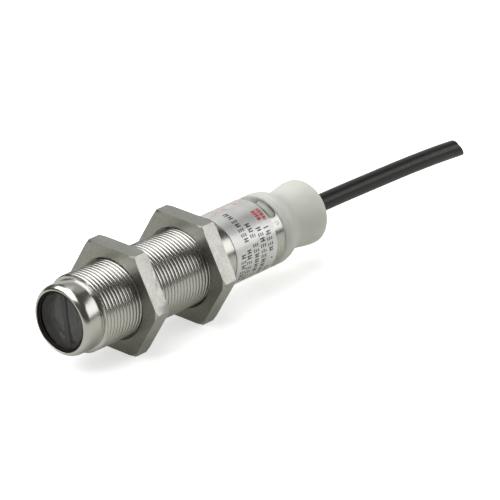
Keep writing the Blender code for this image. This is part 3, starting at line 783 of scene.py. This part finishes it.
def trim_side(build, side, inset):
    """Keep what lies on one side of the middle, past the inset, and close the cut."""
    cut = bmesh.ops.bisect_plane(
        build,
        geom=build.verts[:] + build.edges[:] + build.faces[:],
        plane_co=(0, side * inset * MM, 0),
        plane_no=(0, side, 0),
        clear_inner=True,
    )
    rim = [item for item in cut["geom_cut"] if isinstance(item, bmesh.types.BMEdge)]
    bmesh.ops.edgeloop_fill(build, edges=rim)


def make_gasket():
    start, end = span("window_gasket")
    outer = outer_radius("window_gasket")
    corner = (start + GASKET_ROUNDING, GASKET_INNER + GASKET_ROUNDING)
    profile = arc(corner, GASKET_ROUNDING, 180, 270, 4)
    profile += [(end, GASKET_INNER), (end, outer), (start, outer)]
    gasket = turned("gasket_ring", profile, GASKET_RUBBER)
    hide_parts("window_gasket")


def make_window():
    start, end = span("front_window")
    outer = outer_radius("front_window")
    window = turned(
        "smoked_front_window",
        [(start, 0.0), (start, outer - WINDOW_CHAMFER), (start + WINDOW_CHAMFER, outer), (end, outer),
         (end, 0.0)],
        WINDOW_FILM, closed=False,
    )
    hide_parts("front_window")


def make_holder():
    """The lens holder with a D pocket on each side of its middle wall, and a half lens in each pocket."""
    start, end = span("lens_holder")
    outer = outer_radius("lens_holder")
    holder = turned(
        "twin_pocket_holder",
        [(start, 0.0), (start, outer), (end, outer), (end, 0.0)],
        HOLDER_PLASTIC, closed=False,
    )
    for name, side in (("emitter", -1), ("receiver", 1)):
        pocket = d_block("pocket", start - CUT_MARGIN, POCKET_END, POCKET_RADIUS, side, SEPTUM / 2)
        first, last = POCKET_END - CUT_MARGIN, end + CUT_MARGIN
        profile = [(first, 0.0), (first, CHANNEL_RADIUS), (last, CHANNEL_RADIUS), (last, 0.0)]
        build = bmesh.new()
        lathe(build, profile, CHANNEL_AROUND, closed=False)
        bmesh.ops.translate(build, vec=(0, side * CHANNEL_OFFSET * MM, 0), verts=build.verts)
        roll(build)
        channel = add_piece("channel", build, HOLDER_PLASTIC, None)
        combine(holder, "DIFFERENCE", pocket, channel)
        make_lens(name, side)
    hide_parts("lens_holder")


def make_lens(name, side):
    """A plano-convex lens trimmed to a half moon, its bulge toward the window."""
    rim = POCKET_RADIUS - LENS_CLEARANCE
    sphere = (rim ** 2 + LENS_BULGE ** 2) / (2 * LENS_BULGE)
    rear = LENS_START + LENS_BULGE + LENS_EDGE
    profile = [(rear, 0.0), (rear, rim)]
    for step in range(LENS_STEPS + 1):
        radius = rim * (1 - step / LENS_STEPS)
        profile.append((LENS_START + sphere - math.sqrt(sphere ** 2 - radius ** 2), radius))
    build = bmesh.new()
    lathe(build, profile, LENS_AROUND, closed=False)
    trim_side(build, side, SEPTUM / 2 + LENS_CLEARANCE)
    roll(build)
    lens = add_piece(f"{name}_half_lens", build, LENS_ACRYLIC, BODY)
    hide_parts(f"{name}_lens")


# ---------------------------------------------------------------- label and sleeve

LABEL_SHEET, LABEL_LIP = 0.08, 0.02
SLEEVE_WALL, SLEEVE_LIP = 0.1, 0.04
PRINT_LIFT = 0.012
PRINT_SEED = 18
# A mark's height along the barrel, and its pitch in degrees, of which it fills a share
MARK_HEIGHT = 1.55
MARK_PITCH = 8.6
MARK_FILL = 0.70
# A stroke's width; how much an upright may lose or its cross bar may shift; and how much of the mark's
# width one of three bars may lose, as a share
STROKE = 0.30
STROKE_TRIM = 0.3
BAR_TRIM = 0.35
# How often a mark is two uprights and a bar, and how often three bars; the rest are single uprights
UPRIGHTS_SHARE, BARS_SHARE = 0.45, 0.45
# Rows of greeked print: station of the row's middle, then (first angle, number of marks) of each word
PRINT_ROWS = (
    (49.7, ((10, 6),)),
    (51.6, ((84, 7), (14, 7))),
    (54.0, ((52, 3), (20, 8))),
    (56.4, ((40, 10),)),
    (58.7, ((38, 5), (-30, 3))),
)
# One small dot of print by itself: its stations and angles
DOT_STATIONS, DOT_ANGLES = (59.1, 59.5), (-14, -17)
# Rows of colour print: the row's middle station, its height, and its first and last angle
RED_ROWS = ((58.2, 1.15, 68, 48), (59.7, 0.95, 68, 46))
PALE_RED_ROWS = ((51.0, 1.9, 102, 94), (53.4, 1.9, 101, 94), (57.6, 1.6, 104, 97), (59.4, 1.0, 103, 97))
# Width and gap of the blocks in a row, in degrees
BLOCK_WIDTHS, BLOCK_GAP = (3.0, 5.5), 1.0
PATCH_STEP = 3


def patch(build, stations, angles, inner, outer):
    """A thin curved slab on a cylinder, between two stations and two angles."""
    steps = max(1, math.ceil(abs(angles[1] - angles[0]) / PATCH_STEP))
    loops = []
    for step in range(steps + 1):
        angle = angles[0] + (angles[1] - angles[0]) * step / steps
        corners = ((stations[0], inner), (stations[1], inner), (stations[1], outer), (stations[0], outer))
        loops.append([build.verts.new(place(station, radius, angle)) for station, radius in corners])
    for first, second in zip(loops, loops[1:]):
        bridge(build, first, second)
    build.faces.new(loops[0])
    build.faces.new(loops[-1])


def greeked_mark(build, station, angle, width, radius, dice):
    """One mark of short strokes, which stands for print without being a letter."""
    half = MARK_HEIGHT / 2
    stroke_angle = math.degrees(STROKE / radius)
    inner, outer = radius - PRINT_LIFT, radius + PRINT_LIFT
    kind = dice.random()
    if kind < UPRIGHTS_SHARE:
        for edge in (0.0, 1.0):
            start = angle - edge * (width - stroke_angle)
            stations = (station - half + dice.uniform(0, STROKE_TRIM), station + half)
            patch(build, stations, (start, start - stroke_angle), inner, outer)
        middle = station + dice.uniform(-STROKE_TRIM, STROKE_TRIM)
        patch(build, (middle - STROKE / 2, middle + STROKE / 2), (angle, angle - width), inner, outer)
    elif kind < UPRIGHTS_SHARE + BARS_SHARE:
        for height in (-half, -STROKE / 2, half - STROKE):
            trim = dice.uniform(0, width * BAR_TRIM)
            first = station + height
            patch(build, (first, first + STROKE), (angle - trim, angle - width), inner, outer)
    else:
        start = angle - width / 2 + stroke_angle / 2
        patch(build, (station - half, station + half), (start, start - stroke_angle), inner, outer)


def sheet(start, end, outer, wall, lip):
    """Profile of a thin sleeve round the axis, with its outer edges broken."""
    return [
        (end, outer - wall), (end, outer - lip), (end - lip, outer),
        (start + lip, outer), (start, outer - lip), (start, outer - wall),
    ]


def make_label():
    """The silver wrap label with its rows of marks and its blocks of colour print."""
    start, end = span("wrap_label")
    radius = outer_radius("wrap_label")
    profile = sheet(start, end, radius, LABEL_SHEET, LABEL_LIP)
    label = turned("silver_label", profile, LABEL, segments=FINE_AROUND)
    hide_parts("wrap_label")
    dice = random.Random(PRINT_SEED)
    build = bmesh.new()
    for station, words in PRINT_ROWS:
        for first, count in words:
            for number in range(count):
                angle = first - MARK_PITCH * number
                greeked_mark(build, station, angle, MARK_PITCH * MARK_FILL, radius, dice)
    patch(build, DOT_STATIONS, DOT_ANGLES, radius - PRINT_LIFT, radius + PRINT_LIFT)
    add_piece("label_print", build, BLACK_INK, BODY)
    colour_print("label_red_print", RED_INK, RED_ROWS, radius, dice)
    colour_print("label_pale_print", PALE_RED_INK, PALE_RED_ROWS, radius, dice)


def colour_print(name, look, rows, radius, dice):
    """Rows of short solid blocks."""
    build = bmesh.new()
    for station, height, first, last in rows:
        angle = first
        while angle > last:
            width = min(dice.uniform(*BLOCK_WIDTHS), angle - last)
            stations = (station - height / 2, station + height / 2)
            patch(build, stations, (angle, angle - width), radius - PRINT_LIFT, radius + PRINT_LIFT)
            angle -= width + BLOCK_GAP
    add_piece(name, build, look, BODY)


def make_sleeve():
    start, end = span("clear_sleeve")
    profile = sheet(start, end, outer_radius("clear_sleeve"), SLEEVE_WALL, SLEEVE_LIP)
    sleeve = turned("clear_shrink_sleeve", profile, SLEEVE_FILM, segments=FINE_AROUND)
    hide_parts("clear_sleeve")


# ---------------------------------------------------------------- end bell

FLANGE_START, FLANGE_END, FLANGE_RADIUS = 64.0, 66.2, 8.6
FLANGE_ROUNDING = 0.25
SHOULDER_EDGE, SHOULDER_DROP = 0.05, 0.07
NECK_STATION, NECK_RADIUS = 71.4, 6.95
RIM_RADIUS, RIM_ROUNDING = 7.7, 1.1
SPIGOT_START, SPIGOT_RADIUS, SPIGOT_BORE = 56.5, 7.3, 6.2
SPIGOT_CHAMFER = 0.3
SEAL_STATION, SEAL_WIDTH, SEAL_FLOOR = 58.6, 1.5, 6.6
CHAMBER_RADIUS, CHAMBER_END = 3.2, 74.0
# The hollow narrows from the spigot's bore to the chamber between these stations
TAPER_START, TAPER_END = 66.0, 69.5
CABLE_BORE, MOUTH_ROUNDING = 2.2, 0.35
# The snap tabs stand in the barrel's slots with this gap round them; each starts inside the spigot's wall
TAB_GAP = 0.18
TAB_TOP = 8.35
TAB_ROOT = 0.5
TAB_CUT = 3
# A fine parting groove round the flange
PARTING_STATION, PARTING_WIDTH, PARTING_DEPTH = 65.6, 0.22, 0.10


def make_bell():
    """The milky end bell with its flange, neck, flared rim, cable hole, spigot and two snap tabs."""
    end = span("end_bell")[1]
    rim_corner = (end - RIM_ROUNDING, RIM_RADIUS - RIM_ROUNDING)
    flange_corner = (FLANGE_START + FLANGE_ROUNDING, FLANGE_RADIUS - FLANGE_ROUNDING)
    neck = (NECK_STATION, NECK_RADIUS)
    profile = arc((end - MOUTH_ROUNDING, CABLE_BORE + MOUTH_ROUNDING), MOUTH_ROUNDING, 270, 360, 5)
    profile += arc(rim_corner, RIM_ROUNDING, 0, 85, 12)
    profile += ease((end - RIM_ROUNDING, RIM_RADIUS), neck, 16)[1:]
    profile += ease(neck, (FLANGE_END, FLANGE_RADIUS - SHOULDER_DROP), 18)[1:]
    profile += arc((FLANGE_END - SHOULDER_EDGE, FLANGE_RADIUS - SHOULDER_EDGE), SHOULDER_EDGE, 0, 90, 3)
    profile += [
        (PARTING_STATION + PARTING_WIDTH / 2, FLANGE_RADIUS),
        (PARTING_STATION, FLANGE_RADIUS - PARTING_DEPTH),
        (PARTING_STATION - PARTING_WIDTH / 2, FLANGE_RADIUS),
    ]
    profile += arc(flange_corner, FLANGE_ROUNDING, 90, 180, 5)
    seal_low, seal_high = SEAL_STATION - SEAL_WIDTH / 2, SEAL_STATION + SEAL_WIDTH / 2
    profile += [
        (FLANGE_START, SPIGOT_RADIUS), (seal_high, SPIGOT_RADIUS), (seal_high, SEAL_FLOOR),
        (seal_low, SEAL_FLOOR), (seal_low, SPIGOT_RADIUS),
        (SPIGOT_START + SPIGOT_CHAMFER, SPIGOT_RADIUS), (SPIGOT_START, SPIGOT_RADIUS - SPIGOT_CHAMFER),
        (SPIGOT_START, SPIGOT_BORE), (TAPER_START, SPIGOT_BORE), (TAPER_END, CHAMBER_RADIUS),
        (CHAMBER_END, CHAMBER_RADIUS), (CHAMBER_END, CABLE_BORE),
    ]
    bell = turned("moulded_end_bell", profile, BELL)
    for turn in (0, 180):
        tab = oblong(
            "tab", SLOT_STATION, SLOT_ANGLE + turn, SLOT_LENGTH - 2 * TAB_GAP, SLOT_WIDTH - 2 * TAB_GAP,
            SPIGOT_RADIUS - TAB_ROOT, TAIL_RADIUS + CUT_MARGIN, BELL,
        )
        first, last = SLOT_STATION - TAB_CUT, SLOT_STATION + TAB_CUT
        cylinder = [(last, 0.0), (last, TAB_TOP), (first, TAB_TOP), (first, 0.0)]
        flush = turned("flush", cylinder, BELL, None, closed=False)
        combine(tab, "INTERSECT", flush)
        combine(bell, "UNION", tab)
    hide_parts("end_bell")


# ---------------------------------------------------------------- cable

CABLE_DIAMETER = 0.0042
# The free cable's route, in metres, as the CAD part has it
CABLE_ROUTE = (
    (0.03985, 0.0, 0.01200),
    (0.05225, 0.0, 0.01186),
    (0.06425, 0.0, 0.01160),
    (0.07625, 0.0, 0.01128),
    (0.08625, 0.0, 0.01080),
    (0.09475, 0.0, 0.01015),
)
ROUTE_STEPS = 5
CABLE_SIDES = 40
END_SLANT = 0.7
JACKET_WALL = 0.0006
JACKET_EDGE = 0.0001
CORE_RECESS = 0.0004
# The conductors in the cut: angle of each, its distance from the middle, and its two radii
CORE_ANGLES = (("brown", 90), ("blue", 210), ("black", 330))
CORE_OFFSET, CORE_RADIUS, COPPER_RADIUS = 0.00072, 0.00058, 0.00032
CORE_SIDES = 20
# Where the insulation and the copper start and end, counted along the cable from the cut
CORE_REACH, COPPER_REACH = (-0.0009, 0.0), (-0.0004, 0.00012)


def cable_path():
    """Points of a smooth curve through the route."""
    route = [Vector(point) for point in CABLE_ROUTE]
    ends = [route[0]] + route + [route[-1]]
    points = []
    for before, here, there, after in zip(ends, ends[1:], ends[2:], ends[3:]):
        for step in range(ROUTE_STEPS):
            t = step / ROUTE_STEPS
            points.append(0.5 * (
                2 * here
                + (there - before) * t
                + (2 * before - 5 * here + 4 * there - after) * t ** 2
                + (3 * here - before - 3 * there + after) * t ** 3
            ))
    points.append(route[-1])
    return points


def tube_frames(points):
    """A point, its direction, and the upward and sideways directions across it."""
    frames = []
    for index, point in enumerate(points):
        before, after = points[max(index - 1, 0)], points[min(index + 1, len(points) - 1)]
        forward = (after - before).normalized()
        side = Vector((0, 1, 0))
        frames.append((point, forward, forward.cross(side) * -1, side))
    return frames


def circle_round(
    build, frame_here, radius, slant=0.0, forward_by=0.0, centre=(0.0, 0.0), sides=CABLE_SIDES,
):
    """A ring of vertices across the cable; slant leans it so that its top is further along."""
    point, forward, up, side = frame_here
    ring = []
    for k in range(sides):
        turn = math.tau * k / sides
        height = centre[1] + radius * math.sin(turn)
        across = centre[0] + radius * math.cos(turn)
        ring.append(build.verts.new(
            point + up * height + side * across + forward * (slant * height + forward_by)
        ))
    return ring


def stub(name, frame_here, centre, radius, reach, look):
    """A short cylinder in the cable's cut, with both ends on the slant."""
    build = bmesh.new()
    first, last = [
        circle_round(build, frame_here, radius, END_SLANT, shift, centre, CORE_SIDES) for shift in reach
    ]
    bridge(build, first, last)
    build.faces.new(first)
    build.faces.new(last)
    return add_piece(name, build, look, BODY)


def make_cable():
    """A jacketed cable cut off at a slant, with three insulated conductors showing in the cut."""
    points = cable_path()
    frames = tube_frames(points)
    radius = CABLE_DIAMETER / 2
    build = bmesh.new()
    rings = [circle_round(build, here, radius) for here in frames[:-1]]
    rings.append(circle_round(build, frames[-1], radius, END_SLANT, -JACKET_EDGE))
    rings.append(circle_round(build, frames[-1], radius - JACKET_EDGE, END_SLANT))
    rings.append(circle_round(build, frames[-1], radius - JACKET_WALL, END_SLANT))
    rings.append(circle_round(build, frames[-1], radius - JACKET_WALL, END_SLANT, -CORE_RECESS))
    for first, second in zip(rings, rings[1:]):
        bridge(build, first, second)
    build.faces.new(rings[0])
    build.faces.new(rings[-1])
    cable = add_piece("cable_jacket", build, CABLE_PVC, BODY)
    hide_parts("cable")
    for colour, angle in CORE_ANGLES:
        turn = math.radians(angle)
        centre = (CORE_OFFSET * math.cos(turn), CORE_OFFSET * math.sin(turn))
        insulation, cut = INNER_LOOKS[f"wire_{colour}"], frames[-1]
        stub(f"core_{colour}", cut, centre, CORE_RADIUS, CORE_REACH, insulation)
        stub(f"core_{colour}_strands", cut, centre, COPPER_RADIUS, COPPER_REACH, COPPER)


bpy.context.scene.view_settings.view_transform = "Standard"
make_camera()
make_lights()
make_world()
make_floor()
make_cable()
finish_inner_nodes()
make_barrel()
make_nut("front_jam_nut", "front_nut", FRONT_NUT)
make_nut("rear_jam_nut", "rear_nut", REAR_NUT)
make_gasket()
make_window()
make_holder()
make_label()
make_sleeve()
make_bell()
